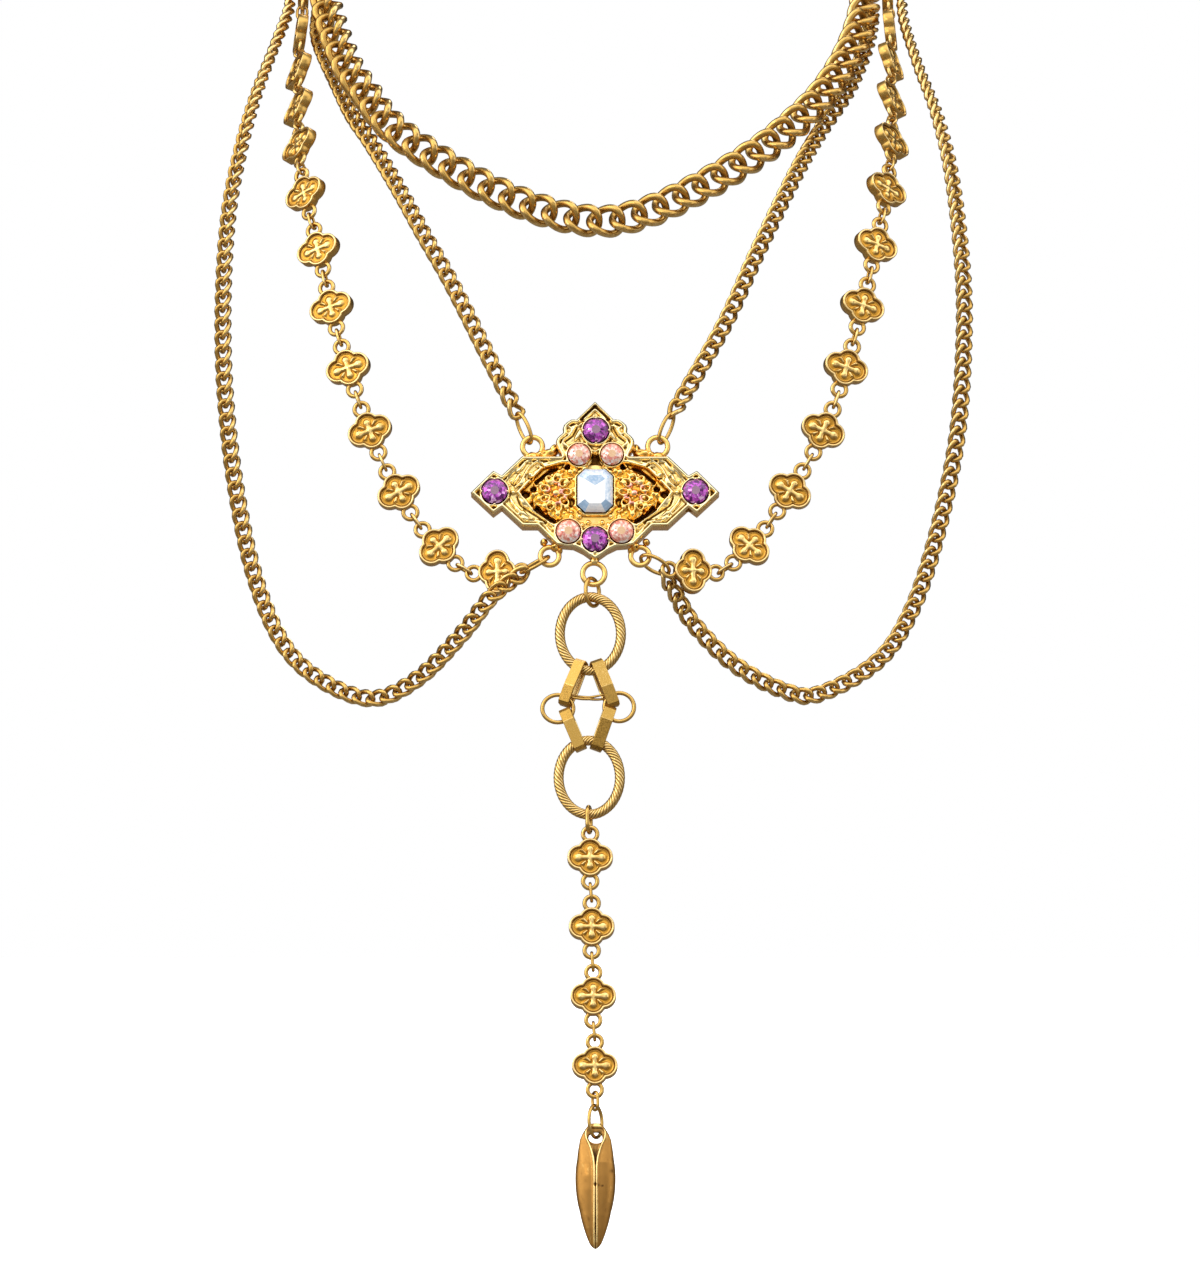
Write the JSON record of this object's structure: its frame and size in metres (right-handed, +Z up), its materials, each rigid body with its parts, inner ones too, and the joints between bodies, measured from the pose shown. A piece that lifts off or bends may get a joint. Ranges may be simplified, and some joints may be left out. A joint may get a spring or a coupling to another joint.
{
  "type": "festoon necklace",
  "caption": "Festoon necklace: heavy curb collar, swags of fine chain and quatrefoil links, jewelled cruciform plaque, long ring-and-quatrefoil drop ending in a pointed pod.",
  "frame": {"origin": "the nape of the wearer's neck, in the middle of the clasp, where the necklace hangs", "axes": "+Z up, +X to the right as seen from the front, +Y from the chest towards the wearer's back; the front faces -Y"},
  "size_m": [0.1726, 0.1939, 0.3151],
  "materials": {
    "antique_gold": "warm antiqued gold plate, polished high spots and brown recesses",
    "pale_gold": "bright pale gold plate over a cast body",
    "brown_gold": "brushed brown antique gold",
    "purple_glass": "purple faceted glass, foiled back",
    "pink_glass": "peach pink faceted glass, foiled back",
    "clear_crystal": "clear faceted crystal with a blue cast"
  },
  "bodies": {
    "necklace": {"neck_chain": "antique_gold", "clasp": "antique_gold", "gather_ring_left": "antique_gold", "gather_ring_right": "antique_gold", "front_chain_left": "antique_gold", "front_chain_right": "antique_gold", "outer_chain_left": "antique_gold", "outer_chain_right": "antique_gold", "quatrefoil_strand_left": "antique_gold", "quatrefoil_strand_right": "antique_gold", "plaque": "pale_gold", "centre_crystal": "clear_crystal", "purple_stone_top": "purple_glass", "purple_stone_left": "purple_glass", "purple_stone_right": "purple_glass", "purple_stone_bottom": "purple_glass", "pink_stone_upper_left": "pink_glass", "pink_stone_upper_right": "pink_glass", "pink_stone_lower_left": "pink_glass", "pink_stone_lower_right": "pink_glass", "plaque_ring_top_left": "antique_gold", "plaque_ring_top_right": "antique_gold", "plaque_ring_low_left": "antique_gold", "plaque_ring_low_right": "antique_gold", "drop_ring_upper": "antique_gold", "twisted_ring_upper": "antique_gold", "twisted_ring_lower": "antique_gold", "strap_link_upper_left": "antique_gold", "strap_link_upper_right": "antique_gold", "strap_link_lower_left": "antique_gold", "strap_link_lower_right": "antique_gold", "side_ring_left": "antique_gold", "side_ring_right": "antique_gold", "cross_link": "antique_gold", "drop_ring_lower": "antique_gold", "drop_quatrefoil_1": "antique_gold", "drop_quatrefoil_2": "antique_gold", "drop_quatrefoil_3": "antique_gold", "drop_quatrefoil_4": "antique_gold", "drop_link_1": "antique_gold", "drop_link_2": "antique_gold", "drop_link_3": "antique_gold", "drop_link_4": "antique_gold", "pod_ring": "antique_gold"},
    "pendant": {"pod": "brown_gold"}
  },
  "joints": [
    {"name": "pod_swing", "type": "hinge", "parent": "necklace", "child": "pendant", "pos_m": [0.0001, -0.18559, -0.28735], "axis": [0, -0.9703, 0.2419], "range_deg": [-25, 25]}
  ]
}
